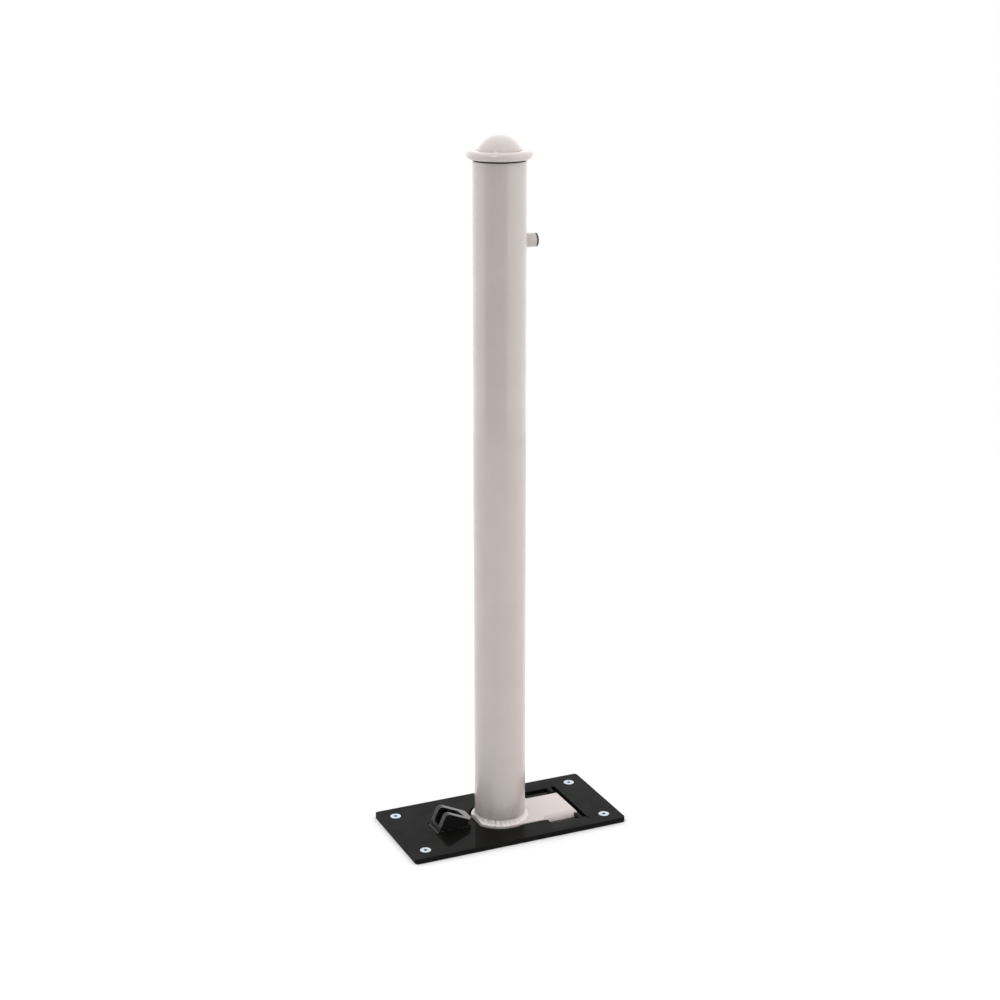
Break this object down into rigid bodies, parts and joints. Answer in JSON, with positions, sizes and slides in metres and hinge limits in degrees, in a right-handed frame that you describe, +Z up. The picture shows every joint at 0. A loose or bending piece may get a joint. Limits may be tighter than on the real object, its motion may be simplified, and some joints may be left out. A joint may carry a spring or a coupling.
{
  "type": "retractable bollard",
  "caption": "Round steel bollard on a bolted ground plate. It folds down about a hinge pin at one end and has a bent lock hasp.",
  "frame": {"origin": "middle of the ground sheet's underside, on the post's axis", "axes": "+Z up along the post; +X from the post to the hinge, the way it folds; Y along the hinge pin"},
  "size_m": [0.34, 0.17, 1.0255],
  "materials": {
    "plate_paint": "glossy black powder coat",
    "hasp_paint": "glossy black powder coat",
    "post_paint": "satin grey-beige powder coat",
    "foot_paint": "satin light beige powder coat",
    "cap_paint": "satin grey-beige powder coat",
    "zinc": "bright zinc plating",
    "dark_steel": "dark oiled steel",
    "rubber": "matt black rubber"
  },
  "bodies": {
    "base": {"base_plate": "plate_paint", "ground_sheet": "rubber", "anchor_screws": "zinc", "hinge_block_near": "plate_paint", "hinge_block_far": "plate_paint", "pin_set_screws": "dark_steel", "hinge_pin": "dark_steel", "thrust_washers": "dark_steel", "hinge_spacer_near": "dark_steel", "hinge_spacer_far": "dark_steel", "hasp_pin": "dark_steel", "hasp_pin_keepers": "dark_steel", "hasp_keeper_screws": "zinc"},
    "post": {"foot_plate": "foot_paint", "foot_pad": "rubber", "foot_weld": "foot_paint", "post_tube": "post_paint", "rest_stub": "post_paint", "stub_weld": "post_paint", "stub_buffer": "rubber", "stub_buffer_screw": "zinc", "cap_gasket": "rubber", "cap_spigot": "dark_steel", "cap_ring": "cap_paint", "cap_dome": "cap_paint", "cap_washer": "zinc", "cap_bolt": "zinc"},
    "hasp": {"lock_hasp": "hasp_paint"}
  },
  "joints": [
    {"name": "post_fold", "type": "hinge", "parent": "base", "child": "post", "pos_m": [0.10875, 0, 0.0042], "axis": [0, 1, 0], "range_deg": [0, 93.7]},
    {"name": "hasp_swing", "type": "hinge", "parent": "base", "child": "hasp", "pos_m": [-0.1069, 0, 0.004], "axis": [0, 1, 0], "range_deg": [-36, 0]}
  ]
}
